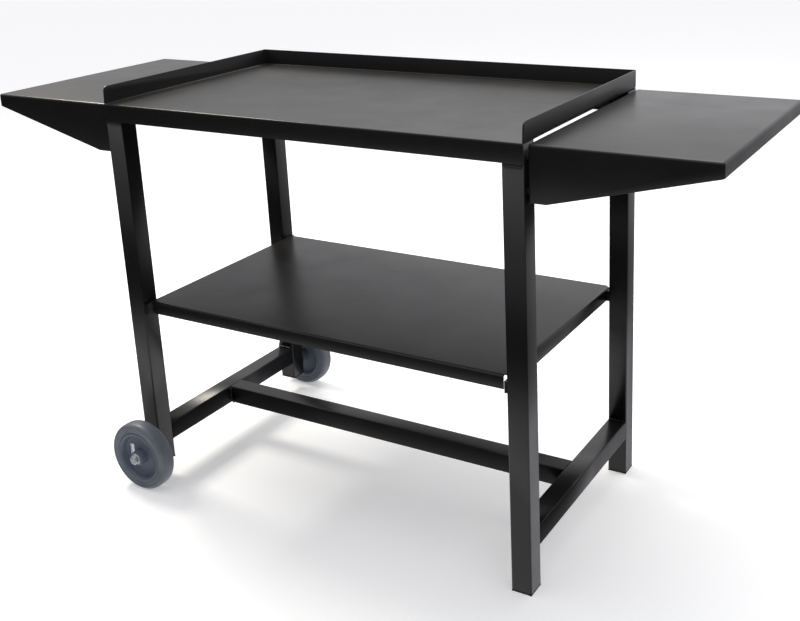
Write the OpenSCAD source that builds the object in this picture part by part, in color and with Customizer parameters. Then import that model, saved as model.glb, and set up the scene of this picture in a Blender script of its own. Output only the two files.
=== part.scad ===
// Two-wheeled steel stand for a table-top griddle: a rimmed tray, a shelf and two side tablets.
// The origin is on the floor, under the middle of the stand. X runs along it, Y to the rear.

/* [Frame] */
// Length over the outer faces of the legs
frame_len = 920; // [800:10:1200]
// Depth over the outer faces of the legs
frame_depth = 500; // [420:10:650]
// Side of the square tube
tube_w = 40; // [40:1:50]
// Wall of the square tube
tube_wall = 2; // [1.5:0.5:3]
// Outer corner radius of the square tube
tube_round = 3; // [2.5:0.5:4]
// Height of the tray surface above the floor
tray_h = 828; // [760:2:900]
// Height of the top of the bottom rails
rail_h = 122; // [122:2:180]
// Height of the lower end of the two wheeled legs
left_leg_h = 45; // [35:1:55]

/* [Sheet parts] */
// Thickness of the folded sheet
sheet_t = 2; // [1.5:0.5:2]
// Outer radius of a fold
fold_r = 3; // [2.5:0.5:4]
// Height of the tray rims above the tray surface
rim_h = 34; // [25:1:50]
// Radius of the front upper corners of the side rims
rim_round = 10; // [8:1:20]
// Drop of the tray's front flange
tray_drop = 35; // [25:1:38]
// Height of the shelf surface above the floor
shelf_h = 413; // [300:1:520]
// Drop of the shelf flanges
shelf_drop = 26; // [24:1:40]
// Distance from the leg faces to the shelf edge, front and rear
shelf_inset = 14; // [6:1:20]
// Gap between the shelf sides and the legs
shelf_gap = 6; // [3:1:10]
// Side of the square cut out of each shelf corner
shelf_notch = 7; // [4:1:10]

/* [Side tablets] */
// Width of a side tablet
tablet_w = 314.5; // [220:5:400]
// Depth of a side tablet
tablet_d = 488; // [420:2:640]
// Gap between the frame and a tablet
tablet_gap = 4; // [2:0.5:12]
// How far the tablet surface lies below the tray surface
tablet_step = 2; // [0:1:6]
// Drop of the outer flange
tablet_drop = 25; // [20:1:40]
// Depth of the cheeks beside the legs
cheek_h = 97; // [90:1:120]
// Length of the level stretch under a cheek
cheek_flat = 31; // [25:1:60]

/* [Wheels] */
// Diameter of the wheels
wheel_d = 150; // [125:5:160]
// Width of the tyre
tyre_w = 34; // [28:1:40]
// Radius where the tyre meets the rim
rim_r = 56; // [48:1:58]
// Diameter of the axle bolt
axle_d = 12; // [10:1:14]
// Radial running clearance of the wheel bush on the axle
axle_play = 0.05; // [0.02:0.01:0.09]

/* [Hidden] */
$fn = 64;

half_x = frame_len / 2;
half_y = frame_depth / 2;
leg_x = half_x - tube_w / 2;              // centre of a leg
leg_y = half_y - tube_w / 2;
sides = [-1, 1];                          // left and right, or front and rear

// Frame heights
sheet_z = tray_h - sheet_t;               // underside of the tray, top of the legs and upper rail
relief = 1;                               // gap between the ends of neighbouring folds
foot_h = 4;                               // visible thickness of a foot
plug_h = 16;                              // how far a foot reaches into its tube
rail_mid = rail_h - tube_w / 2;
weld_leg = 4;                             // side of a fillet weld
lap_bead_h = 6.5;                         // height of the bead under the tray's front flange

// Tray
tray_front = -half_y - sheet_t;
rim_top = tray_h + rim_h;

// Shelf
shelf_x = half_x - tube_w - shelf_gap;    // outer face of the side flanges
shelf_y = half_y - shelf_inset;           // outer face of the front and rear flanges
lug_len = 34;
lug_h = 22;
lug_z = shelf_h - sheet_t - 2 - lug_h / 2;
shelf_bolt_d = 6;
shelf_bolt_y = shelf_y - shelf_notch - 9;

// Tablets
tab_top = tray_h - tablet_step;
tab_in = half_x + tablet_gap;
tab_out = tab_in + tablet_w;
tab_bolt_d = 8;
tab_ear_w = 39;                           // width of the deep ears that are bolted to the legs
tab_bolt_z = [sheet_z - tube_w / 2 - 2, tab_top - cheek_h + 18];
nut_wall = 1.5;                           // wall of a blind rivet nut

// Wheels, measured outwards from the leg face
axle_z = wheel_d / 2;
hub_in = 10;                              // inner end of the hub
hub_len = 41;
tyre_in = 14;                             // inner side of the tyre
hub_r = 16;
bush_r = axle_d / 2 + 3;
web_t = 5;
washer_t = 2.5;
end_play = 0.3;
head_h = 7.5;
nut_h = 12;
nut_seat = tube_w - tube_wall;            // depth of the inner face that carries the axle nut

powder = "#1c1c1d";
plastic = "#2a2c2f";
rubber = "#474c54";
rim_grey = "#4b5058";
zinc = "#c3c7c9";

// ---- shared shapes ----

// Rectangle with round corners, centred
module round_rect(w, h, r) {
    square([w - 2 * r, h], center = true);
    square([w, h - 2 * r], center = true);
    for (x = sides, y = sides)
        translate([x * (w / 2 - r), y * (h / 2 - r)]) circle(r);
}

module tube_section() {
    difference() {
        round_rect(tube_w, tube_w, tube_round);
        round_rect(tube_w - 2 * tube_wall, tube_w - 2 * tube_wall, tube_round - tube_wall);
    }
}

module tube_z(len) linear_extrude(len) tube_section();
module tube_y(len) rotate([90, 0, 0]) linear_extrude(len, center = true) tube_section();
module tube_x(len) rotate([90, 0, 90]) linear_extrude(len, center = true) tube_section();

// Folded angle: runs along +X and +Y from the outside of the fold at the origin
module fold_section(a, b) {
    translate([fold_r, 0]) square([a - fold_r, sheet_t]);
    translate([0, fold_r]) square([sheet_t, b - fold_r]);
    intersection() {
        translate([fold_r, fold_r]) difference() {
            circle(fold_r);
            circle(fold_r - sheet_t);
        }
        square(fold_r);
    }
}

// Fillet weld between two faces that meet at the origin
module fillet_section() {
    difference() {
        polygon([[0, 0], [weld_leg, 0], [0, weld_leg]]);
        translate([weld_leg, weld_leg]) circle(weld_leg * 0.83);
    }
}

module fillet(len) linear_extrude(len, center = true) fillet_section();

module hex_head(across, h) cylinder(d = across / cos(30), h = h, $fn = 6);

module ring(r_out, r_in, h) {
    difference() {
        cylinder(r = r_out, h = h);
        translate([0, 0, -1]) cylinder(r = r_in, h = h + 2);
    }
}

// ---- frame ----

// A leg has holes for the tablet's rivet nuts, and a wheeled leg one for the axle bolt, each in
// its outer wall
module leg(sx, sy, bottom) {
    color(powder) difference() {
        translate([sx * leg_x, sy * leg_y, bottom]) tube_z(sheet_z - bottom);
        if (sx < 0) translate([-leg_x, sy * half_y, axle_z]) rotate([90, 0, 0])
            cylinder(d = axle_d + 0.4, h = 3 * tube_wall, center = true);
        for (z = tab_bolt_z) translate([sx * half_x, sy * leg_y, z]) rotate([0, 90, 0])
            cylinder(d = tab_bolt_d + 2 * nut_wall, h = 3 * tube_wall, center = true);
    }
}

// A closed end for a tube: a plate of the tube's own size and a plug inside it
module foot(sx, sy, tube_end, plate) {
    inner = tube_w - 2 * tube_wall - 0.2;
    color(plastic) translate([sx * leg_x, sy * leg_y, tube_end - plate]) {
        linear_extrude(plate) round_rect(tube_w, tube_w, tube_round);
        linear_extrude(plate + plug_h) difference() {
            round_rect(inner, inner, 1);
            round_rect(inner - 5, inner - 5, 1);
        }
    }
}

// Rail between the rear legs, under the tray's rear edge
module top_rail_rear()
    color(powder) translate([0, leg_y, sheet_z - tube_w / 2]) tube_x(frame_len - 2 * tube_w);

module bottom_rail(sx)
    color(powder) translate([sx * leg_x, 0, rail_mid]) tube_y(frame_depth - 2 * tube_w);

module stretcher() color(powder) translate([0, 0, rail_mid]) tube_x(frame_len - 2 * tube_w);

// Beads that join the lower edge of the tray's front flange to the front legs
module leg_top_welds() {
    color(powder) for (sx = sides) translate([sx * leg_x, -half_y, tray_h - tray_drop])
        rotate([90, 0, 90]) linear_extrude(tube_w - 2 * tube_round, center = true)
            polygon([[0, 0], [-sheet_t, 0], [-0.4, -lap_bead_h], [0, -lap_bead_h]]);
}

// Fillets under both ends of the upper rail
module top_rail_welds() {
    color(powder) for (sx = sides) mirror([sx > 0 ? 1 : 0, 0, 0])
        translate([-half_x + tube_w, leg_y, sheet_z - tube_w]) rotate([-90, 0, 0])
            fillet(tube_w - 2 * tube_round);
}

// Fillets at the ends of the bottom rails: under each rail and on its inner side
module bottom_rail_welds() {
    run = tube_w - 2 * tube_round;
    color(powder) for (sx = sides, sy = sides)
        mirror([sx > 0 ? 1 : 0, 0, 0]) mirror([0, sy > 0 ? 1 : 0, 0])
            translate([-leg_x, -half_y + tube_w, rail_mid]) {
                translate([0, 0, -tube_w / 2]) rotate([0, 90, 0]) fillet(run);
                translate([0, 0, tube_w / 2]) rotate([0, -90, 0]) fillet(run);
            }
}

// Upright and lower fillets at both ends of the stretcher
module stretcher_welds() {
    run = tube_w - 2 * tube_round;
    color(powder) for (sx = sides) mirror([sx > 0 ? 1 : 0, 0, 0])
        translate([-half_x + tube_w, 0, rail_mid]) {
            for (sy = sides) mirror([0, sy < 0 ? 1 : 0, 0]) translate([0, tube_w / 2, 0]) fillet(run);
            translate([0, 0, -tube_w / 2]) rotate([-90, 0, 0]) fillet(run);
        }
}

// Short stitch welds under the tray: along the upper rail and beside the front legs
module tray_welds() {
    stitch = 30;
    color(powder) {
        for (x = [-0.7, 0, 0.7]) translate([x * half_x, half_y - tube_w, sheet_z])
            rotate([180, 0, 0]) rotate([90, 0, 90]) fillet(stitch);
        for (sx = sides) mirror([sx > 0 ? 1 : 0, 0, 0])
            translate([-half_x + tube_w, -leg_y, sheet_z]) rotate([90, 0, 0])
                mirror([0, 1, 0]) fillet(stitch);
    }
}

// ---- tray and shelf ----

// One side rim: an upright wall with a round corner at its front end, on a fold that stops
// short of both corners
module side_rim() {
    wall = frame_depth - sheet_t;
    rise = rim_h + sheet_t - fold_r;
    translate([half_x - sheet_t, half_y - wall, sheet_z + fold_r]) rotate([90, 0, 90])
        linear_extrude(sheet_t) {
            square([wall, rise - rim_round]);
            translate([rim_round, 0]) square([wall - rim_round, rise]);
            translate([rim_round, rise - rim_round]) circle(rim_round);
        }
    translate([half_x, 0, sheet_z]) rotate([90, 0, 0]) mirror([1, 0, 0])
        linear_extrude(frame_depth - 2 * fold_r - 2 * relief, center = true)
            fold_section(2 * fold_r, 2 * fold_r);
}

module tray() {
    flat_x = frame_len - 2 * fold_r;
    flat_y = half_y - tray_front - 2 * fold_r;
    color(powder) {
        translate([-flat_x / 2, tray_front + fold_r, sheet_z]) cube([flat_x, flat_y, sheet_t]);
        side_rim();
        mirror([1, 0, 0]) side_rim();
        translate([-half_x + sheet_t, half_y - sheet_t, sheet_z + fold_r])
            cube([frame_len - 2 * sheet_t, sheet_t, rim_h + sheet_t - fold_r]);
        translate([0, half_y, sheet_z]) rotate([90, 0, 90]) mirror([1, 0, 0])
            linear_extrude(flat_x - 2 * relief, center = true) fold_section(2 * fold_r, 2 * fold_r);
        translate([0, tray_front, tray_h]) rotate([90, 0, 90]) mirror([0, 1, 0])
            linear_extrude(frame_len, center = true) fold_section(fold_r + relief, tray_drop);
    }
}

// Top plate with its corners cut out, and a flange folded down along each side
module shelf() {
    cut_x = shelf_x - shelf_notch;
    cut_y = shelf_y - shelf_notch;
    color(powder) difference() {
        union() {
            translate([0, 0, shelf_h - sheet_t]) linear_extrude(sheet_t) {
                square([2 * (shelf_x - fold_r), 2 * cut_y], center = true);
                square([2 * cut_x, 2 * (shelf_y - fold_r)], center = true);
            }
            for (sy = sides) mirror([0, sy > 0 ? 1 : 0, 0]) translate([0, -shelf_y, shelf_h])
                rotate([90, 0, 90]) mirror([0, 1, 0])
                    linear_extrude(2 * cut_x, center = true) fold_section(2 * fold_r, shelf_drop);
            for (sx = sides) mirror([sx > 0 ? 1 : 0, 0, 0]) translate([-shelf_x, 0, shelf_h])
                rotate([-90, 0, 0])
                    linear_extrude(2 * cut_y, center = true) fold_section(2 * fold_r, shelf_drop);
        }
        for (sx = sides, sy = sides) translate([sx * shelf_x, sy * shelf_bolt_y, lug_z])
            rotate([0, 90, 0]) cylinder(d = shelf_bolt_d + 0.4, h = 4 * sheet_t, center = true);
    }
}

// Lugs welded to the inner faces of the legs, each with a threaded hole for a shelf bolt
module shelf_lugs() {
    color(powder) for (sx = sides, sy = sides) difference() {
        translate([sx * (shelf_x + shelf_gap / 2), sy * leg_y, lug_z])
            cube([shelf_gap, lug_len, lug_h], center = true);
        translate([sx * shelf_x, sy * shelf_bolt_y, lug_z]) rotate([0, 90, 0])
            cylinder(d = shelf_bolt_d, h = 4 * shelf_gap, center = true);
    }
}

module shelf_bolts() {
    color(zinc) for (sx = sides, sy = sides) mirror([sx < 0 ? 1 : 0, 0, 0])
        translate([shelf_x - sheet_t, sy * shelf_bolt_y, lug_z]) rotate([0, 90, 0]) {
            translate([0, 0, -4]) hex_head(10, 4);
            cylinder(d = shelf_bolt_d, h = sheet_t + shelf_gap - 0.5);
        }
}

// ---- side tablets ----

// Cheek outline below the tablet surface, from the frame outwards
module cheek_section() {
    polygon([[0, -fold_r], [tablet_w, -fold_r], [tablet_w, -tablet_drop],
             [cheek_flat, -cheek_h], [0, -cheek_h]]);
}

// Right tablet: the top, two cheeks, and an outer and an inner flange. The inner flange is
// as shallow as the outer one between two deep ears beside the legs.
module tablet() {
    cheek_y = tablet_d / 2;
    flange_y = tablet_d - 2 * sheet_t;
    flat = [tablet_w - 2 * fold_r, tablet_d - 2 * fold_r];
    color(powder) difference() {
        union() {
            translate([tab_in + fold_r, -flat[1] / 2, tab_top - sheet_t])
                cube([flat[0], flat[1], sheet_t]);
            for (sy = sides) mirror([0, sy > 0 ? 1 : 0, 0]) {
                translate([tab_in, -cheek_y + sheet_t, tab_top]) rotate([90, 0, 0])
                    linear_extrude(sheet_t) cheek_section();
                translate([tab_in + tablet_w / 2, -cheek_y, tab_top]) rotate([90, 0, 90])
                    mirror([0, 1, 0]) linear_extrude(flat[0] - 2 * relief, center = true)
                        fold_section(2 * fold_r, 2 * fold_r);
            }
            for (end = [[tab_in, tab_in, cheek_h - 4], [tab_out, tab_out - sheet_t, tablet_drop]]) {
                translate([end[1], -flange_y / 2, tab_top - end[2]])
                    cube([sheet_t, flange_y, end[2] - fold_r]);
                translate([end[0], 0, tab_top]) rotate([-90, 0, 0])
                    mirror([end[0] > tab_in ? 1 : 0, 0, 0])
                        linear_extrude(flat[1] - 2 * relief, center = true)
                            fold_section(2 * fold_r, 2 * fold_r);
            }
        }
        for (sy = sides, z = tab_bolt_z) translate([tab_in, sy * leg_y, z]) rotate([0, 90, 0])
            cylinder(d = tab_bolt_d + 0.6, h = 4 * sheet_t, center = true);
        translate([tab_in - sheet_t, tab_ear_w - cheek_y, tab_top - cheek_h])
            cube([3 * sheet_t, tablet_d - 2 * tab_ear_w, cheek_h - tablet_drop]);
    }
}

// Four bolt places of one tablet; each child points away from the frame
module tablet_bolt_places(sx) {
    for (sy = sides, z = tab_bolt_z) mirror([sx < 0 ? 1 : 0, 0, 0])
        translate([half_x, sy * leg_y, z]) rotate([0, 90, 0]) children();
}

module tablet_bolts(sx) {
    grip = tablet_gap + sheet_t + 1.6;
    color(zinc) tablet_bolt_places(sx) {
        translate([0, 0, grip]) hex_head(13, 5.3);
        translate([0, 0, -8]) cylinder(d = tab_bolt_d, h = grip + 8);
    }
}

module tablet_washers() {
    color(zinc) for (sx = sides) tablet_bolt_places(sx)
        translate([0, 0, tablet_gap + sheet_t]) ring(8, tab_bolt_d / 2 + 0.2, 1.6);
}

module tablet_spacers(sx) {
    color(plastic) tablet_bolt_places(sx)
        translate([0, 0, 0.6]) ring(8, tab_bolt_d / 2 + 0.2, tablet_gap - 0.6);
}

// Threaded sleeves set in the tube walls, each with a thin collar outside
module rivet_nuts() {
    color(zinc) for (sx = sides) tablet_bolt_places(sx) {
        translate([0, 0, -14]) ring(tab_bolt_d / 2 + nut_wall, tab_bolt_d / 2, 14);
        ring(tab_bolt_d / 2 + nut_wall + 1.5, tab_bolt_d / 2, 0.6);
    }
}

// ---- wheels ----

// Puts a wheel part at a wheeled leg: the child's +Z points outwards from the leg face
module at_axle(sy) {
    translate([-leg_x, sy * half_y, axle_z]) rotate([sy < 0 ? 90 : -90, 0, 0]) children();
}

// Solid tyre: crowned tread, round shoulders and a groove in each side wall
module tyre(sy) {
    r = wheel_d / 2;
    side = 5;
    color(rubber) at_axle(sy) translate([0, 0, tyre_in]) rotate_extrude($fn = 96) difference() {
        union() {
            translate([rim_r, 0]) square([r - side - rim_r, tyre_w]);
            translate([rim_r, side]) square([r - rim_r, tyre_w - 2 * side]);
            for (z = [side, tyre_w - side]) translate([r - side, z]) circle(side);
        }
        for (z = [0, tyre_w]) translate([r - 9, z]) circle(1.6);
    }
}

// Wheel centre: bead seat, dished web and hub, with the bush seat through it
module rim(sy) {
    seat_w = tyre_w - 4;
    mid = tyre_in + tyre_w / 2;
    color(rim_grey) at_axle(sy) rotate_extrude($fn = 96) {
        translate([rim_r - 10, mid - seat_w / 2]) square([10, seat_w]);
        translate([hub_r - 1, mid - web_t / 2]) square([rim_r - hub_r - 8, web_t]);
        translate([bush_r, hub_in]) square([hub_r - bush_r, hub_len]);
    }
}

module bush(sy) {
    color("#8e9296") at_axle(sy) translate([0, 0, hub_in])
        ring(bush_r, axle_d / 2 + axle_play, hub_len);
}

// Head outside the wheel, shank through the wheel and into the nut
module axle_bolt(sy) {
    head_z = hub_in + hub_len + end_play + washer_t;
    color(zinc) at_axle(sy) {
        translate([0, 0, head_z]) hex_head(18, head_h);
        translate([0, 0, -nut_seat]) cylinder(d = axle_d, h = head_z + nut_seat);
    }
}

// One washer under the head and one on the leg face
module axle_washers(sy) {
    color(zinc) at_axle(sy) for (z = [0, hub_in + hub_len + end_play])
        translate([0, 0, z]) ring(12, axle_d / 2 + 0.3, washer_t);
}

module axle_spacer(sy) {
    color(zinc) at_axle(sy) translate([0, 0, washer_t])
        ring(bush_r + 1, axle_d / 2 + 0.2, hub_in - end_play - washer_t);
}

// Nut welded inside the leg, on the wall that faces the other wheel
module axle_nut(sy) {
    color(zinc) at_axle(sy) translate([0, 0, -nut_seat]) difference() {
        hex_head(18, nut_h);
        translate([0, 0, -1]) cylinder(d = axle_d, h = nut_h + 2);
    }
}

// Blank paper label on the web of the front wheel
module wheel_label() {
    label = [11, 26];
    place = [-hub_r - 6.5 - label[0], -6];
    web_face = tyre_in + tyre_w / 2 + web_t / 2;
    color("white") at_axle(-1) translate([place[0], place[1], web_face])
        cube([label[0], label[1], 0.25]);
}

leg(-1, -1, left_leg_h);  // leg_front_left
leg(1, -1, foot_h);  // leg_front_right
leg(-1, 1, left_leg_h);  // leg_rear_left
leg(1, 1, foot_h);  // leg_rear_right
foot(-1, -1, left_leg_h, foot_h);  // foot_front_left
foot(1, -1, foot_h, foot_h);  // foot_front_right
foot(-1, 1, left_leg_h, foot_h);  // foot_rear_left
foot(1, 1, foot_h, foot_h);  // foot_rear_right
top_rail_rear();
bottom_rail(-1);  // bottom_rail_left
bottom_rail(1);  // bottom_rail_right
stretcher();
leg_top_welds();
top_rail_welds();
bottom_rail_welds();
stretcher_welds();
tray_welds();
tray();
shelf();
shelf_lugs();
shelf_bolts();
mirror([1, 0, 0]) tablet();  // tablet_left
tablet();  // tablet_right
tablet_bolts(-1);  // tablet_bolts_left
tablet_bolts(1);  // tablet_bolts_right
tablet_washers();
tablet_spacers(-1);  // tablet_spacers_left
tablet_spacers(1);  // tablet_spacers_right
rivet_nuts();
tyre(-1);  // front_tyre
rim(-1);  // front_rim
bush(-1);  // front_bush
axle_bolt(-1);  // front_axle_bolt
axle_washers(-1);  // front_axle_washers
axle_spacer(-1);  // front_axle_spacer
axle_nut(-1);  // front_axle_nut
wheel_label();
tyre(1);  // rear_tyre
rim(1);  // rear_rim
bush(1);  // rear_bush
axle_bolt(1);  // rear_axle_bolt
axle_washers(1);  // rear_axle_washers
axle_spacer(1);  // rear_axle_spacer
axle_nut(1);  // rear_axle_nut
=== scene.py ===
"""Two-wheeled black steel stand for a table-top griddle, dressed for a studio picture.

Lengths are in metres in the part's own frame: X runs along the stand, Y to the rear, Z up.
The camera and the light come first, then the materials, then the pieces one by one.
"""
import math
import random

import bmesh
import bpy
from mathutils import Matrix, Vector


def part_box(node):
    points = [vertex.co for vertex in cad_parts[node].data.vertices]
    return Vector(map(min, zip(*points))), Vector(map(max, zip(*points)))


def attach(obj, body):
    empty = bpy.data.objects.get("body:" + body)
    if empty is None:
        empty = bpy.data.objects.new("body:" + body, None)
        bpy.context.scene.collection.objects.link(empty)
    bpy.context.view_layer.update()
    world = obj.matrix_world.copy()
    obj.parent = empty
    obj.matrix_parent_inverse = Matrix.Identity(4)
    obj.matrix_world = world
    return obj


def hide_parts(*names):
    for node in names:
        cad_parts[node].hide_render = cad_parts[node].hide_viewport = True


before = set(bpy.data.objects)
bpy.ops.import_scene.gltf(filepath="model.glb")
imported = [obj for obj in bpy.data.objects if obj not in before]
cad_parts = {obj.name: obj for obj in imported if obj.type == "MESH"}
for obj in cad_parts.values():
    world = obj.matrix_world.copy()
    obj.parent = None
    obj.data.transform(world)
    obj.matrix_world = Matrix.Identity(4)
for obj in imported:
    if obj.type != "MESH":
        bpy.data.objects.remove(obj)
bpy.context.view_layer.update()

MM = 0.001
TUBE_WALL = 2 * MM
TUBE_ROUND = 3 * MM                 # outer corner radius of the square tube
SHEET = 2 * MM                      # thickness of the folded sheet
FOLD = 4.5 * MM                     # outer radius of a fold
RIM_ROUND = 10 * MM                 # radius of the front upper corners of the tray's rims
ENDS = {"left": -1, "right": 1}
ROWS = {"front": -1, "rear": 1}


# ---- camera, light and floor ----

def add_camera():
    """A short tele lens on a stand, to the right of the front and a little above the tray."""
    turn = [math.radians(a) for a in (73.965, 1.947, 29.295)]
    bpy.ops.object.camera_add(location=(1.1959, -1.7310, 1.2265), rotation=turn)
    camera = bpy.context.object
    camera.name = "camera"
    camera.data.sensor_width = 36
    camera.data.lens = 48.756
    camera.data.shift_x = -0.0770
    camera.data.shift_y = -0.1481
    bpy.context.scene.camera = camera


def add_softbox(name, place, aim, size, watts, colour):
    """A square softbox that points at aim."""
    direction = Vector(aim) - Vector(place)
    turn = direction.to_track_quat("-Z", "Y").to_euler()
    bpy.ops.object.light_add(type="AREA", location=place, rotation=turn)
    lamp = bpy.context.object
    lamp.name = name
    lamp.data.shape = "SQUARE"
    lamp.data.size = size
    lamp.data.energy = watts
    lamp.data.color = colour


def add_room():
    """White walls behind and to the sides, a dark space where the camera stands."""
    world = bpy.data.worlds.new("studio")
    bpy.context.scene.world = world
    world.use_nodes = True
    tree = world.node_tree
    tree.nodes.clear()
    way = add_node(tree, "TexCoord").outputs["Generated"]
    part = add_node(tree, "SeparateXYZ", {"Vector": way})
    rear, height = part.outputs["Y"], part.outputs["Z"]
    # Brightness by direction: walls to the rear, dimmer towards the floor, then a pale ground,
    # a band of windows all round and a bright ceiling
    soft = {"interpolation_type": "SMOOTHSTEP"}
    wall = levels(tree, rear, 0.30, 0.95, 0.04, 1.0)
    skirting = levels(tree, height, -0.20, 0.05, 0.45, 1.0)
    ground = levels(tree, height, -0.42, -0.66, 0.0, 0.7, **soft)
    sky = levels(tree, height, 0.25, 0.9, 0.0, 0.9, **soft)
    window = levels(tree, height, 0.05, 0.30, 0.0, 0.35, **soft)
    lit = plus(tree, times(tree, wall, skirting), ground)
    for other in (window, sky):
        lit = add_node(tree, "Math", {0: lit, 1: other}, operation="MAXIMUM").outputs[0]
    glow = add_node(tree, "Background", {"Color": linear("#fbfbff"), "Strength": lit})
    plain = add_node(tree, "Background", {"Color": linear("#fbfbfb"), "Strength": 1.0})
    seen = add_node(tree, "LightPath").outputs["Is Camera Ray"]
    both = add_node(tree, "MixShader", {0: seen, 1: glow.outputs[0], 2: plain.outputs[0]})
    add_node(tree, "OutputWorld", {"Surface": both.outputs[0]})


def add_floor():
    bpy.ops.mesh.primitive_plane_add(size=60, location=(0, 0, 0))
    floor = bpy.context.object
    floor.name = "studio_floor"
    floor.visible_glossy = False
    floor.data.materials.append(pale_floor())


# ---- materials ----

def linear(hex_colour):
    """An sRGB hex value as linear RGBA."""
    channels = [int(hex_colour[i:i + 2], 16) / 255 for i in (1, 3, 5)]
    return [c / 12.92 if c <= 0.04045 else ((c + 0.055) / 1.055) ** 2.4 for c in channels] + [1]


def add_node(tree, kind, sockets=(), **settings):
    """Adds a node, sets its properties, and gives each socket a value or a link."""
    node = tree.nodes.new("ShaderNode" + kind)
    for name, value in settings.items():
        setattr(node, name, value)
    for name, value in dict(sockets).items():
        if isinstance(value, bpy.types.NodeSocket):
            tree.links.new(value, node.inputs[name])
        else:
            node.inputs[name].default_value = value
    return node


def new_material(name):
    """An empty material, its tree and the object coordinates, in metres."""
    material = bpy.data.materials.new(name)
    material.use_nodes = True
    material.node_tree.nodes.clear()
    place = add_node(material.node_tree, "TexCoord").outputs["Object"]
    return material, material.node_tree, place


def noise(tree, place, size_mm, detail=3.0, roughness=0.5, stretch=(1, 1, 1)):
    """Soft random pattern; size_mm is the width of its lumps. Stretch shrinks it along an axis."""
    at = add_node(tree, "Mapping", {"Vector": place, "Scale": stretch})
    made = add_node(tree, "TexNoise", {"Vector": at.outputs[0], "Scale": 1000 / size_mm,
                                       "Detail": detail, "Roughness": roughness})
    return made.outputs["Fac"]


def levels(tree, value, low, high, to_low, to_high, **settings):
    """Maps a value from one range to another, held at its ends."""
    sockets = {"Value": value, "From Min": low, "From Max": high,
               "To Min": to_low, "To Max": to_high}
    return add_node(tree, "MapRange", sockets, **settings).outputs[0]


def blend_colour(tree, factor, first, second):
    """Mixes two colours, each a hex value or a link."""
    sides = [linear(c) if isinstance(c, str) else c for c in (first, second)]
    mix = add_node(tree, "Mix", {0: factor, 6: sides[0], 7: sides[1]}, data_type="RGBA")
    return mix.outputs[2]


def times(tree, first, second):
    return add_node(tree, "Math", {0: first, 1: second}, operation="MULTIPLY").outputs[0]


def plus(tree, first, second):
    return add_node(tree, "Math", {0: first, 1: second}, operation="ADD").outputs[0]


def finish_material(material, tree, colour, roughness, heights=(), **constants):
    """Ends a material in one shader. Heights are (link, depth in metres) pairs for the relief."""
    normal = None
    for height, depth in heights:
        sockets = {"Height": height, "Distance": depth, "Strength": 1.0}
        if normal:
            sockets["Normal"] = normal
        normal = add_node(tree, "Bump", sockets).outputs[0]
    sockets = {"Base Color": linear(colour) if isinstance(colour, str) else colour,
               "Roughness": roughness}
    if normal:
        sockets["Normal"] = normal
    sockets.update(constants)
    shader = add_node(tree, "BsdfPrincipled", sockets)
    add_node(tree, "OutputMaterial", {"Surface": shader.outputs[0]})
    return material


def edge_mask(tree, width):
    """1 along sharp edges, 0 on flats: how far the rounded normal leaves the true one."""
    soft = add_node(tree, "Bevel", {"Radius": width}, samples=4).outputs[0]
    true = add_node(tree, "NewGeometry").outputs["Normal"]
    same = add_node(tree, "VectorMath", {0: soft, 1: true},
                    operation="DOT_PRODUCT").outputs["Value"]
    return levels(tree, same, 0.995, 0.80, 0.0, 1.0)


def black_powder_coat(name, base, dust_share):
    """Black polyester powder on steel, sprayed and baked.

    It gives a satin black with a fine pebbled skin, a slight unevenness of gloss over a hand's
    width, thin fresh-looking edges where the coat draws back, and a breath of dust on what
    faces up. The pebbles are 0.4 mm on the real coat and are drawn 3.5 mm wide, so they show.
    """
    material, tree, place = new_material(name)
    facing = add_node(tree, "NewGeometry").outputs["Normal"]
    upward = add_node(tree, "SeparateXYZ", {"Vector": facing}).outputs["Z"]
    cloud = noise(tree, place, 140, detail=4)
    dust = times(tree, levels(tree, upward, 0.6, 0.98, 0.0, dust_share),
                 levels(tree, cloud, 0.3, 0.7, 0.45, 1.0))
    specks = levels(tree, noise(tree, place, 5, detail=2), 0.72, 0.80, 0.0, 1.0)
    dust = plus(tree, dust, times(tree, specks, times(tree, dust, 1.6)))
    worn = times(tree, edge_mask(tree, 0.9 * MM),
                 levels(tree, noise(tree, place, 22, detail=4), 0.42, 0.62, 0.0, 0.55))
    colour = blend_colour(tree, dust, base, "#8d8880")
    colour = blend_colour(tree, worn, colour, "#3b3c3e")
    scuffs = levels(tree, noise(tree, place, 9, detail=5, stretch=(0.07, 1.0, 1.0)),
                    0.66, 0.74, 0.0, 0.05)
    gloss = levels(tree, noise(tree, place, 90, detail=3), 0.3, 0.7, 0.30, 0.36)
    gloss = plus(tree, gloss, scuffs)
    waves = noise(tree, place, 120, detail=1)
    pebbles = noise(tree, place, 3.5, detail=3, roughness=0.6)
    return finish_material(material, tree, colour, gloss,
                           ((waves, 0.10 * MM), (pebbles, 0.13 * MM)))


def zinc_plate():
    """Bright zinc plate on steel, blue-passivated: a cool shine with hazy, finger-wide clouding."""
    material, tree, place = new_material("zinc_plate")
    cloud = noise(tree, place, 6, detail=4)
    colour = blend_colour(tree, levels(tree, cloud, 0.35, 0.65, 0.0, 1.0), "#f0f2f4", "#ccd2d7")
    gloss = levels(tree, noise(tree, place, 3, detail=3), 0.3, 0.7, 0.28, 0.42)
    turned_marks = noise(tree, place, 0.8, detail=2)
    return finish_material(material, tree, colour, gloss, ((turned_marks, 0.02 * MM),),
                           Metallic=0.75)


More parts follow.
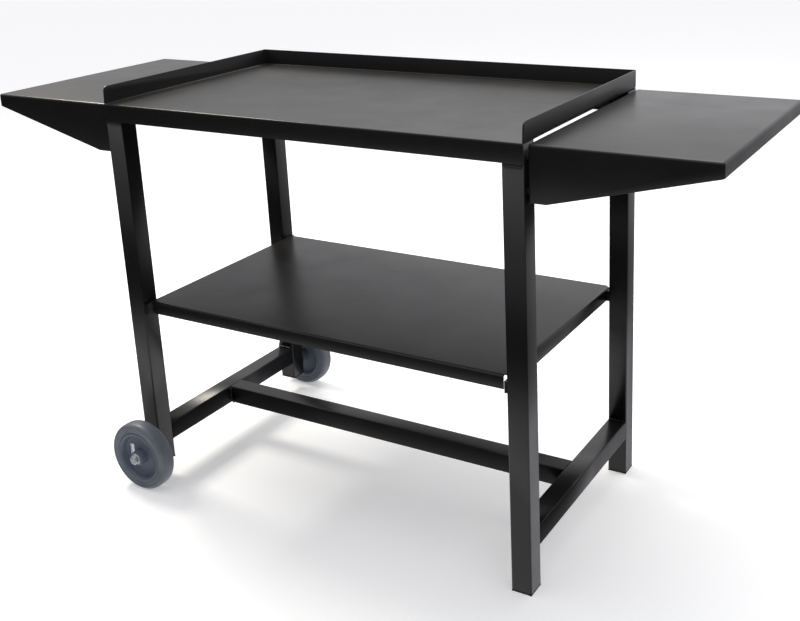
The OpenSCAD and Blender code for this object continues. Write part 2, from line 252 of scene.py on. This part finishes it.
def tyre_rubber():
    """Solid blue-grey rubber, pressed in a mould: dull, with a grainy skin and floor dust."""
    material, tree, place = new_material("blue_grey_tyre_rubber")
    cloud = noise(tree, place, 30, detail=5)
    colour = blend_colour(tree, levels(tree, cloud, 0.35, 0.7, 0.0, 1.0), "#5c636c", "#6a7079")
    dust = levels(tree, noise(tree, place, 12, detail=6, roughness=0.65), 0.52, 0.75, 0.0, 0.35)
    colour = blend_colour(tree, dust, colour, "#6c6a66")
    gloss = levels(tree, cloud, 0.3, 0.7, 0.36, 0.50)
    grain = noise(tree, place, 1.4, detail=3)
    return finish_material(material, tree, colour, gloss, ((grain, 0.05 * MM),))


def moulded_plastic(name, base, worn, low_gloss, high_gloss):
    """Injection-moulded polypropylene or polyethylene: a waxy sheen on a finely etched skin."""
    material, tree, place = new_material(name)
    cloud = noise(tree, place, 25, detail=4)
    edge = times(tree, edge_mask(tree, 0.8 * MM), levels(tree, cloud, 0.35, 0.6, 0.2, 0.8))
    colour = blend_colour(tree, edge, base, worn)
    gloss = levels(tree, cloud, 0.3, 0.7, low_gloss, high_gloss)
    etched = noise(tree, place, 1.1, detail=2)
    return finish_material(material, tree, colour, gloss, ((etched, 0.03 * MM),))


def label_paper(centre_x):
    """Coated label paper: matt white with faint fibres and one plain printed band."""
    material, tree, place = new_material("label_paper")
    across = add_node(tree, "SeparateXYZ", {"Vector": place}).outputs["X"]
    band = times(tree, levels(tree, across, centre_x - 1.6 * MM, centre_x - 2.0 * MM, 0.0, 1.0),
                 levels(tree, across, centre_x - 4.8 * MM, centre_x - 4.4 * MM, 0.0, 1.0))
    fibres = noise(tree, place, 1.5, detail=4)
    paper = blend_colour(tree, fibres, "#eef0f2", "#dfe1e4")
    worn = levels(tree, noise(tree, place, 2.5, detail=3), 0.35, 0.55, 0.25, 0.85)
    colour = blend_colour(tree, times(tree, band, worn), paper, "#6a6fa0")
    return finish_material(material, tree, colour, 0.55, ((fibres, 0.01 * MM),))


def pale_floor():
    """Painted studio floor: matt and even, with a barely visible roller texture."""
    material, tree, place = new_material("pale_studio_floor")
    roller = noise(tree, place, 60, detail=3)
    colour = blend_colour(tree, roller, "#f6f6f6", "#f3f3f3")
    glow = {"Specular IOR Level": 0.0, "Emission Color": linear("#ffffff"),
            "Emission Strength": 0.33}
    return finish_material(material, tree, colour, 0.9, **glow)


# ---- modelling helpers ----

def start(kind, name, **size):
    """Adds a primitive as the only selected object and opens it for editing."""
    bpy.ops.object.select_all(action="DESELECT")
    getattr(bpy.ops.mesh, f"primitive_{kind}_add")(**size)
    made = bpy.context.object
    made.name = made.data.name = name
    bpy.ops.object.mode_set(mode="EDIT")
    return made


def keep_place():
    """Applies the place and size of the piece under the tools, and goes on editing."""
    bpy.ops.object.mode_set(mode="OBJECT")
    bpy.ops.object.transform_apply(location=True, rotation=True, scale=True)
    bpy.ops.object.mode_set(mode="EDIT")


def start_block(name, low, high):
    """Starts a box from corner to corner."""
    block = start("cube", name, size=1, location=(low + high) / 2, scale=high - low)
    keep_place()
    return block


def start_sheet(name, low, high):
    """Starts a level rectangle from corner to corner."""
    middle, size = (low + high) / 2, high - low
    sheet = start("plane", name, size=1, location=middle)
    bpy.ops.mesh.select_all(action="SELECT")
    bpy.ops.transform.resize(value=(size.x, size.y, 1), center_override=middle)
    keep_place()
    return sheet


def pick(kind, *tests):
    """Selects each vertex, edge or face all of whose corners pass one of the tests."""
    bpy.ops.mesh.select_mode(type=kind)
    bpy.ops.mesh.select_all(action="DESELECT")
    data = bpy.context.object.data
    mesh = bmesh.from_edit_mesh(data)
    for item in {"VERT": mesh.verts, "EDGE": mesh.edges, "FACE": mesh.faces}[kind]:
        corners = [item.co] if kind == "VERT" else [v.co for v in item.verts]
        if any(all(test(c) for c in corners) for test in tests):
            item.select_set(True)
    mesh.select_flush_mode()
    bmesh.update_edit_mesh(data)


def near(value, goal, slack=0.2 * MM):
    return abs(value - goal) < slack


def extrude(offset):
    bpy.ops.mesh.extrude_region()
    bpy.ops.transform.translate(value=offset)


def bevel(width, segments, corners=False):
    bpy.ops.mesh.bevel(offset=width, segments=segments, profile=0.5, clamp_overlap=False,
                       affect="VERTICES" if corners else "EDGES")


def pull_ring(outline):
    """Draws the ring being edited up the Z axis through an outline of (radius, height) points."""
    bpy.ops.mesh.select_all(action="SELECT")
    for (radius, height), (next_radius, next_height) in zip(outline, outline[1:]):
        share = next_radius / radius
        extrude((0, 0, next_height - height))
        bpy.ops.transform.resize(value=(share, share, 1), center_override=(0, 0, 0))


def close(smooth_angle=35):
    """Ends editing, applies the object's place and shades it smooth up to an angle."""
    bpy.ops.object.mode_set(mode="OBJECT")
    bpy.ops.object.transform_apply(location=True, rotation=True, scale=True)
    bpy.ops.object.shade_smooth_by_angle(angle=math.radians(smooth_angle))


def modify(kind, **settings):
    """Adds a modifier to the active object and applies it."""
    modifier = bpy.context.object.modifiers.new(kind.lower(), kind)
    for name, value in settings.items():
        setattr(modifier, name, value)
    bpy.ops.object.modifier_apply(modifier=modifier.name)


def face_up():
    """Turns all faces so that the level ones look up, whatever way they were drawn."""
    bpy.ops.mesh.select_all(action="SELECT")
    bpy.ops.mesh.normals_make_consistent(inside=False)
    mesh = bmesh.from_edit_mesh(bpy.context.object.data)
    if max(mesh.faces, key=lambda f: f.calc_area()).normal.z < 0:
        bpy.ops.mesh.flip_normals()


def thicken(edge=0.35 * MM, cutter=None):
    """Gives a folded sheet its thickness below its upper face, and eases its cut edges."""
    modify("SOLIDIFY", thickness=SHEET, offset=-1.0, use_even_offset=True)
    if cutter:
        modify("BOOLEAN", object=cutter, operation="DIFFERENCE", solver="EXACT")
        bpy.data.objects.remove(cutter)
    modify("BEVEL", width=edge, segments=2, limit_method="ANGLE",
           angle_limit=math.radians(50))


def copy_of(piece, name):
    """A copy with a mesh of its own."""
    twin = piece.copy()
    twin.data = piece.data.copy()
    twin.name = twin.data.name = name
    bpy.context.scene.collection.objects.link(twin)
    return twin


def select(active, *others):
    """Makes one piece active, and selects it with the others only."""
    bpy.ops.object.select_all(action="DESELECT")
    for piece in (active, *others):
        piece.select_set(True)
    bpy.context.view_layer.objects.active = active


def move(piece, matrix):
    """Puts a finished piece somewhere else, with its place kept in its mesh."""
    select(piece)
    piece.matrix_world = matrix
    bpy.ops.object.transform_apply(location=True, rotation=True, scale=True)


def settle(piece, material, slot, body, *nodes):
    """Gives a piece its material and lets it stand for CAD nodes on a body. Its slot is not used.
    """
    piece.data.materials.clear()
    piece.data.materials.append(material)
    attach(piece, body)
    if nodes:
        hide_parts(*nodes)


def turned(name, outline, sides=96, smooth_angle=35):
    """A solid of revolution about Z. Outline is a closed run of (radius, height) points."""
    radius, height = outline[0]
    made = start("circle", name, vertices=sides, radius=radius, location=(0, 0, height))
    pull_ring([*outline, outline[0]])
    bpy.ops.mesh.select_all(action="SELECT")
    bpy.ops.mesh.remove_doubles(threshold=0.00001)
    bpy.ops.mesh.normals_make_consistent(inside=False)
    close(smooth_angle)
    return made


# ---- square tube ----

def square_tube(name, low, high, along):
    """A length of square tube with round corners, open at both ends, from corner to corner."""
    tube = start_block(name, low, high)
    pick("FACE", *[lambda c, v=v: near(c[along], v) for v in (low[along], high[along])])
    bpy.ops.mesh.delete(type="FACE")
    i, j = (along + 1) % 3, (along + 2) % 3
    pick("EDGE", *[lambda c, a=a, b=b: near(c[i], a) and near(c[j], b)
                   for a in (low[i], high[i]) for b in (low[j], high[j])])
    bevel(TUBE_ROUND, 5)
    close()
    modify("SOLIDIFY", thickness=TUBE_WALL, offset=-1.0, use_even_offset=True)
    return tube


def make_frame(coat):
    """Legs, rails and stretcher, each in the place and length of its own solid."""
    legs = [f"leg_{row}_{end}" for row in ROWS for end in ENDS]
    rails = [f"bottom_rail_{end}" for end in ENDS]
    for names, along in ((legs, 2), (rails, 1), (["stretcher", "top_rail_rear"], 0)):
        for node in names:
            tube = square_tube(node + "_tube", *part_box(node), along)
            settle(tube, coat, "black_powder_coat", "stand", node)


# ---- weld beads ----

def weld_bead(name, length, radius, squash=1.0):
    """One bead along Z, laid in overlapping ripples 1.6 mm apart, with rounded ends."""
    shake = random.Random(name)
    steps = round(length / (0.8 * MM))
    tip = radius * 0.35
    outline = [(tip, 0.0)]
    for step in range(1, steps):
        crest = 1.0 if step % 2 else 0.86
        taper = min(1.0, 0.6 + 0.2 * step, 0.6 + 0.2 * (steps - step))
        width = radius * crest * taper * shake.uniform(0.95, 1.05)
        outline.append((width, length * step / steps))
    outline.append((tip, length))
    bead = start("circle", name, vertices=12, radius=outline[0][0], location=(0, 0, 0),
                 fill_type="NGON")
    pull_ring(outline)
    bpy.ops.mesh.select_all(action="SELECT")
    bpy.ops.transform.resize(value=(1, squash, 1), center_override=(0, 0, 0))
    bpy.ops.mesh.normals_make_consistent(inside=False)
    close(60)
    return bead


def lay_bead(bead, name, begin, along, outward, coat, node):
    """Copies a bead: it starts at begin and runs along, with its flatter side outward."""
    along, outward = Vector(along), Vector(outward)
    side = outward.cross(along)
    turn = Matrix((side, outward, along)).transposed().to_4x4()
    laid = copy_of(bead, name)
    move(laid, Matrix.Translation(begin) @ turn)
    settle(laid, coat, "black_powder_coat", "stand", node)


def make_welds(coat):
    """Beads where rails meet legs, at the stretcher's ends and wherever the tray is held."""
    run = 34 * MM
    bead = weld_bead("weld_bead", run, 3.1 * MM)
    lap = weld_bead("weld_lap", run, 3.0 * MM, squash=0.6)
    stitch = weld_bead("weld_stitch", 30 * MM, 2.6 * MM)
    sunk = 0.7 * MM                     # how far a bead's middle stands off the corner
    leg_low, leg_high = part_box("leg_front_left")
    rail_low, rail_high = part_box("bottom_rail_left")
    top_low, top_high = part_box("top_rail_rear")
    middle_low, middle_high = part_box("stretcher")
    flange_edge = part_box("tray")[0].z
    for end, sx in ENDS.items():
        x_from = sx * abs(leg_low.x + leg_high.x) / 2 - run / 2
        x_inner = sx * abs(middle_high.x)
        x_bead = x_inner - sx * sunk
        lay_bead(lap, f"weld_flange_to_leg_{end}",
                 (x_from, leg_low.y - 0.4 * MM, flange_edge - 2.6 * MM), (1, 0, 0), (0, -1, 0),
                 coat, "leg_top_welds")
        lay_bead(bead, f"weld_under_top_rail_{end}",
                 (x_bead, top_low.y + 3 * MM, top_low.z - sunk), (0, 1, 0), (0, 0, 1),
                 coat, "top_rail_welds")
        for row, sy in ROWS.items():
            y_bead = sy * (abs(leg_high.y) - sunk)
            for level, z, away in (("over", rail_high.z, 1), ("under", rail_low.z, -1)):
                lay_bead(bead, f"weld_{level}_bottom_rail_{row}_{end}",
                         (x_from, y_bead, z + away * sunk), (1, 0, 0), (0, sy, 0),
                         coat, "bottom_rail_welds")
            lay_bead(bead, f"weld_stretcher_{row}_{end}",
                     (x_bead, sy * (middle_high.y + sunk), middle_low.z + 3 * MM),
                     (0, 0, 1), (0, sy, 0), coat, "stretcher_welds")
        lay_bead(bead, f"weld_stretcher_under_{end}", (x_bead, -run / 2, middle_low.z - sunk),
                 (0, 1, 0), (0, 0, 1), coat, "stretcher_welds")
        lay_bead(stitch, f"weld_tray_to_leg_{end}",
                 (x_bead, (leg_low.y + leg_high.y) / 2 - 15 * MM, leg_high.z - sunk),
                 (0, 1, 0), (0, 0, 1), coat, "tray_welds")
    for number, x in enumerate((-322, 0, 322)):
        lay_bead(stitch, f"weld_tray_to_rail_{number}",
                 ((x - 15) * MM, top_low.y - sunk, top_high.z - sunk), (1, 0, 0), (0, 1, 0),
                 coat, "tray_welds")
    for pattern in (bead, lap, stitch):
        bpy.data.objects.remove(pattern)


# ---- folded sheet parts ----

def make_tray(coat):
    """One sheet: rims folded up at the left, right and rear, a flange folded down in front."""
    low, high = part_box("tray")
    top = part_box("top_rail_rear")[1].z + SHEET
    x, rear = high.x - SHEET, high.y - SHEET
    lip = low.y + 4 * MM                # the side rims end here, clear of the front fold
    drop, rise = top - low.z, high.z - top
    tray = start_sheet("tray_sheet", Vector((-x, lip, top)), Vector((x, rear, top)))
    side, back = (lambda c: near(abs(c.x), x)), (lambda c: near(c.y, rear))
    level = lambda c: near(c.z, top)
    pick("EDGE", lambda c: near(c.x, -x), lambda c: near(c.x, x), back)
    extrude((0, 0, rise))
    pick("EDGE", lambda c: near(c.y, lip) and level(c))
    extrude((0, low.y - lip, 0))
    extrude((0, 0, -drop))
    pick("VERT", lambda c: near(c.y, low.y))
    bpy.ops.transform.resize(value=(high.x / x, 1, 1), center_override=(0, 0, 0))
    pick("VERT", lambda c: near(c.z, high.z) and near(c.y, lip))
    bevel(RIM_ROUND, 8, corners=True)
    pick("EDGE", lambda c: level(c) and side(c) and c.y > lip - MM,
         lambda c: level(c) and back(c), lambda c: back(c) and side(c))
    bevel(2 * MM, 4)
    pick("EDGE", lambda c: level(c) and near(c.y, low.y))
    bevel(FOLD, 6)
    face_up()
    close()
    thicken()
    close()
    settle(tray, coat, "black_powder_coat", "stand", "tray")


def make_tablet(end, sx, coat):
    """One sheet with two cheeks that taper outwards, and a flange along each other side.

    The inner flange is deep only in two ears, which are bolted to the legs.
    """
    low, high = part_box(f"tablet_{end}")
    top, y = high.z, high.y
    inner, outer = sorted((low.x, high.x), key=abs)
    knee = inner + sx * 31 * MM         # where the cheeks start to taper
    deep, shallow, ear = high.z - low.z, 25 * MM, 39 * MM
    notch = start_block("notch_between_ears",
                        Vector((inner - 4 * MM, ear - y, top - deep - MM)),
                        Vector((inner + 4 * MM, y - ear, top - shallow)))
    close()
    tablet = start_sheet(f"tablet_{end}_sheet", Vector((low.x, -y, top)), Vector((high.x, y, top)))
    bpy.ops.mesh.select_all(action="SELECT")
    bpy.ops.mesh.bisect(plane_co=(knee, 0, top), plane_no=(1, 0, 0))
    rim = [lambda c: near(c.y, y), lambda c: near(c.y, -y),
           lambda c: near(c.x, inner), lambda c: near(c.x, outer)]
    pick("EDGE", *rim)
    extrude((0, 0, -shallow))
    pick("VERT", lambda c: near(c.z, top - shallow) and sx * c.x < sx * knee + MM)
    bpy.ops.transform.translate(value=(0, 0, shallow - deep))
    pick("EDGE", *[lambda c, t=t: near(c.z, top) and t(c) for t in rim],
         lambda c: near(abs(c.y), y) and (near(c.x, inner) or near(c.x, outer)))
    bevel(FOLD, 5)
    face_up()
    close()
    thicken(cutter=notch)
    close()
    settle(tablet, coat, "black_powder_coat", "stand", f"tablet_{end}")


def make_shelf(coat):
    """One sheet with its corners cut out and a flange folded down along each side."""
    low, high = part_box("shelf")
    top, notch = high.z, 7 * MM         # notch: side of the square cut out of each corner
    x, y = high.x - notch, high.y - notch
    shelf = start_sheet("shelf_sheet", Vector((-x, -y, top)), Vector((x, y, top)))
    for axis, size, sign in ((0, x, -1), (0, x, 1), (1, y, -1), (1, y, 1)):
        reach = (y, x)[axis] + 0.1 * MM
        pick("EDGE", lambda c: near(c[axis], sign * size) and abs(c[1 - axis]) < reach)
        extrude(tuple(sign * notch if i == axis else 0 for i in range(3)))
        extrude((0, 0, low.z - top))
    pick("EDGE", lambda c: near(c.z, top) and near(abs(c.x), high.x),
         lambda c: near(c.z, top) and near(abs(c.y), high.y))
    bevel(FOLD, 5)
    face_up()
    close()
    thicken()
    close()
    settle(shelf, coat, "black_powder_coat", "stand", "shelf")


# ---- wheels ----

def at_axle(sy):
    """Matrix that turns Z outwards from a wheeled leg and starts on the leg's outer face."""
    low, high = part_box("leg_front_left")
    tyre_low, tyre_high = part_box("front_tyre")
    middle = Vector(((low.x + high.x) / 2, sy * abs(low.y), (tyre_low.z + tyre_high.z) / 2))
    return Matrix.Translation(middle) @ Matrix.Rotation(sy * -math.pi / 2, 4, "X")


# Turned outlines as (radius, distance from the leg) in millimetres. The tyre's and the lip's
# are outer halves, which are mirrored about the wheel's middle.
WHEEL_MIDDLE = 31
TYRE_HALF = [(56.0, 46.2), (56.8, 47.2), (58.0, 47.4), (64.6, 47.0), (65.6, 47.2), (66.4, 47.9),
             (67.4, 48.0), (68.4, 47.8), (70.0, 46.9), (72.2, 45.4), (73.7, 43.2), (74.6, 40.0),
             (74.9, 36.0), (75.0, 31.6)]
RIM_LIP = [(56.0, 46.0), (55.4, 46.9), (54.0, 47.4), (51.6, 47.4), (50.0, 46.8), (48.9, 45.6),
           (47.0, 41.0), (45.4, 36.4), (44.4, 34.6), (42.8, 33.7), (40.6, 33.5)]
RIM_HUB_OUT = [(20.4, 33.5), (18.6, 33.9), (17.6, 35.0), (17.0, 37.0), (15.6, 49.8), (15.2, 50.6),
               (14.2, 51.0), (9.0, 51.0)]
RIM_HUB_IN = [(9.0, 10.0), (15.0, 10.0), (15.6, 10.6), (17.0, 25.0), (17.6, 27.0), (18.6, 28.1),
              (20.4, 28.5)]


def mirrored(half):
    """The other half of an outline, about the wheel's middle."""
    return [(r, 2 * WHEEL_MIDDLE - z) for r, z in reversed(half)]


def in_metres(outline):
    return [(r * MM, z * MM) for r, z in outline]


def make_wheel(row, sy, rubber, plastic, zinc):
    """Tyre, rim with a dished web and a long hub, washers and axle bolt of one wheel."""
    body, place = f"{row}_wheel", at_axle(sy)
    tyre = turned(f"{row}_wheel_tyre", in_metres(TYRE_HALF + mirrored(TYRE_HALF)), sides=128)
    outline = RIM_LIP + RIM_HUB_OUT + RIM_HUB_IN + mirrored(RIM_LIP)
    rim = turned(f"{row}_wheel_rim", in_metres(outline), sides=128)
    for piece, material, slot, node in ((tyre, rubber, "tyre_rubber", "tyre"),
                                        (rim, plastic, "rim_plastic", "rim")):
        move(piece, place)
        settle(piece, material, slot, body, f"{row}_{node}")
    washer = turned(f"{row}_axle_washer_outer", ring_outline(12, 6.3, 2.5, 0.5), sides=48)
    inner = copy_of(washer, f"{row}_axle_washer_inner")
    bolt = hex_bolt(f"{row}_axle_bolt_m12", 18, 7.5, 12, 91.8)
    spin = Matrix.Rotation(0.35, 4, "Z")
    for piece, out, node in ((washer, 51.3, "washers"), (inner, 0, "washers"),
                             (bolt, 53.8, "bolt")):
        move(piece, place @ Matrix.Translation((0, 0, out * MM)) @ spin)
        settle(piece, zinc, "zinc_plated_steel", "stand", f"{row}_axle_{node}")


def ring_outline(outer, inner, height, ease):
    """Outline in metres of a flat ring with eased outer edges, from millimetres."""
    return in_metres([(inner, 0), (outer - ease, 0), (outer, ease), (outer, height - ease),
                      (outer - ease, height), (inner, height)])


def hex_corner(across):
    """From the middle of a hexagon to its corner."""
    return across / 2 / math.cos(math.pi / 6)


def hex_bolt(name, across, head, shank, length):
    """A hexagon bolt: the head stands on Z = 0 with a chamfered top, the shank runs down.

    Its measures are in millimetres; length is the shank's.
    """
    corner, core = hex_corner(across), 0.01
    bolt = start("cylinder", name, vertices=6, radius=corner * MM, depth=head * MM,
                 location=(0, 0, head * MM / 2))
    close()
    outline = [(core, 0), (corner * 1.01, 0), (corner * 1.01, head * 0.80),
               (across * 0.47, head), (core, head)]
    dome = turned(name + "_chamfer", in_metres(outline), sides=48)
    select(bolt)
    modify("BOOLEAN", object=dome, operation="INTERSECT", solver="EXACT")
    bpy.data.objects.remove(dome)
    outline = [(core, 0), (shank / 2, 0), (shank / 2, 1 - length),
               (shank / 2 - 1, -length), (core, -length)]
    rod = turned(name + "_shank", in_metres(outline), sides=48)
    select(bolt, rod)
    bpy.ops.object.join()
    modify("BEVEL", width=0.25 * MM, segments=2, limit_method="ANGLE",
           angle_limit=math.radians(25))
    bpy.ops.object.shade_smooth_by_angle(angle=math.radians(30))
    return bolt


def make_label(paper):
    """Paper label on the wheel's web, its corners rounded and one of them lifting a little."""
    low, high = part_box("wheel_label")
    middle, size = (low + high) / 2, high - low
    label = start("grid", "wheel_paper_label", x_subdivisions=8, y_subdivisions=16, size=1,
                  location=(0, 0, 0))
    bpy.ops.mesh.select_all(action="SELECT")
    bpy.ops.transform.resize(value=(size.x, size.z, 1), center_override=(0, 0, 0))
    x, y = size.x / 2, size.z / 2
    pick("VERT", lambda c: near(c.x, -x) and near(c.y, y))
    bpy.ops.transform.translate(value=(0, 0, 0.6 * MM), use_proportional_edit=True,
                                proportional_edit_falloff="SMOOTH", proportional_size=6 * MM)
    pick("VERT", lambda c: near(abs(c.x), x) and near(abs(c.y), y))
    bevel(1.2 * MM, 3, corners=True)
    close()
    modify("SOLIDIFY", thickness=0.15 * MM, offset=1.0)
    out = Matrix.Translation((middle.x, high.y, middle.z)) @ Matrix.Rotation(math.pi / 2, 4, "X")
    move(label, out)
    settle(label, paper, "label_paper", "front_wheel", "wheel_label")


# ---- feet and small bolts ----

def make_foot(corner, plastic):
    """A plastic end cap: a plate with eased edges, hollow below, and a plug inside the tube."""
    low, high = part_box(f"foot_{corner}")
    size, plate = high.x - low.x, 4 * MM
    middle = (low + high) / 2
    foot = start_block(f"foot_{corner}_cap", low, Vector((high.x, high.y, low.z + plate)))
    pick("EDGE", *[lambda c, x=x, y=y: near(c.x, x) and near(c.y, y)
                   for x in (low.x, high.x) for y in (low.y, high.y)])
    bevel(TUBE_ROUND, 5)
    pick("FACE", lambda c: near(c.z, low.z + plate))
    bpy.ops.mesh.inset(thickness=TUBE_WALL + 0.1 * MM)
    extrude((0, 0, high.z - low.z - plate))
    pick("FACE", lambda c: near(c.z, low.z))
    bpy.ops.mesh.inset(thickness=6 * MM)
    extrude((0, 0, 2 * MM))
    off_centre = lambda c: max(abs(c.x - middle.x), abs(c.y - middle.y))
    pick("EDGE", lambda c: near(c.z, low.z) and off_centre(c) > 15 * MM,
         lambda c: near(c.z, low.z + plate) and off_centre(c) > size / 2 - 1.5 * MM)
    bevel(0.6 * MM, 2)
    close()
    settle(foot, plastic, "black_plastic", "stand", f"foot_{corner}")


def make_bolts(zinc):
    """Bolts of the side tablets and of the shelf, on the axes of their own solids."""
    across, head = 13, 5.3
    m8 = hex_bolt("bolt_m8", across, head, 8, 15.6)
    m6 = hex_bolt("bolt_m6", 10, 4.0, 6, 7.5)
    shelf_low, shelf_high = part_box("shelf_bolts")
    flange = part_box("shelf")[1].x - SHEET
    for end, sx in ENDS.items():
        outwards = Matrix.Rotation(sx * math.pi / 2, 4, "Y")
        inwards = Matrix.Rotation(-sx * math.pi / 2, 4, "Y")
        low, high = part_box(f"tablet_bolts_{end}")
        seat = max(abs(low.x), abs(high.x)) - head * MM
        corner = hex_corner(across) * MM
        for row, sy in ROWS.items():
            y = sy * (high.y - across / 2 * MM)
            for number, z in enumerate((low.z + corner, high.z - corner)):
                bolt = copy_of(m8, f"tablet_bolt_{end}_{row}_{number}")
                spin = Matrix.Rotation(0.4 + number + sy, 4, "Z")
                move(bolt, Matrix.Translation((sx * seat, y, z)) @ outwards @ spin)
                settle(bolt, zinc, "zinc_plated_steel", "stand", f"tablet_bolts_{end}")
            bolt = copy_of(m6, f"shelf_bolt_{end}_{row}")
            place = (sx * flange, sy * (shelf_high.y - 5 * MM), (shelf_low.z + shelf_high.z) / 2)
            move(bolt, Matrix.Translation(place) @ inwards)
            settle(bolt, zinc, "zinc_plated_steel", "stand", "shelf_bolts")
    for pattern in (m8, m6):
        bpy.data.objects.remove(pattern)


# ---- the whole stand ----

def paint(node, material):
    """Gives a CAD node that stays a finished material."""
    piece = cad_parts[node]
    piece.data.materials.clear()
    piece.data.materials.append(material)


def build():
    scene = bpy.context.scene
    scene.view_settings.view_transform = "Standard"
    add_camera()
    add_room()
    add_floor()
    add_softbox("softbox_top", (0.4, 0.9, 3.2), (0, 0, 0.5), 2.4, 45, (1.0, 0.99, 0.97))
    add_softbox("softbox_left", (-2.4, 0.5, 2.9), (0, 0, 0.8), 1.0, 80, (1.0, 0.95, 0.86))

    coat = black_powder_coat("black_powder_coat_on_tube", "#131313", 0.03)
    sheet_coat = black_powder_coat("black_powder_coat_on_sheet", "#141414", 0.06)
    zinc = zinc_plate()
    rubber = tyre_rubber()
    rim_plastic = moulded_plastic("blue_grey_polypropylene", "#596170", "#7d8492", 0.28, 0.38)
    cap_plastic = moulded_plastic("black_polyethylene", "#1d1e1f", "#4a4b4c", 0.45, 0.60)
    nylon = moulded_plastic("grey_nylon", "#85898d", "#9a9da0", 0.40, 0.52)
    label_low, label_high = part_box("wheel_label")
    paper = label_paper((label_low.x + label_high.x) / 2)

    make_frame(coat)
    make_welds(coat)
    make_tray(sheet_coat)
    make_shelf(sheet_coat)
    for end, sx in ENDS.items():
        make_tablet(end, sx, sheet_coat)
    for row, sy in ROWS.items():
        make_wheel(row, sy, rubber, rim_plastic, zinc)
        paint(f"{row}_bush", nylon)
        paint(f"{row}_axle_spacer", zinc)
        paint(f"{row}_axle_nut", zinc)
        for end in ENDS:
            make_foot(f"{row}_{end}", cap_plastic)
    make_label(paper)
    make_bolts(zinc)
    for end in ENDS:
        paint(f"tablet_spacers_{end}", cap_plastic)
    for node in ("tablet_washers", "rivet_nuts"):
        paint(node, zinc)
    paint("shelf_lugs", coat)


build()
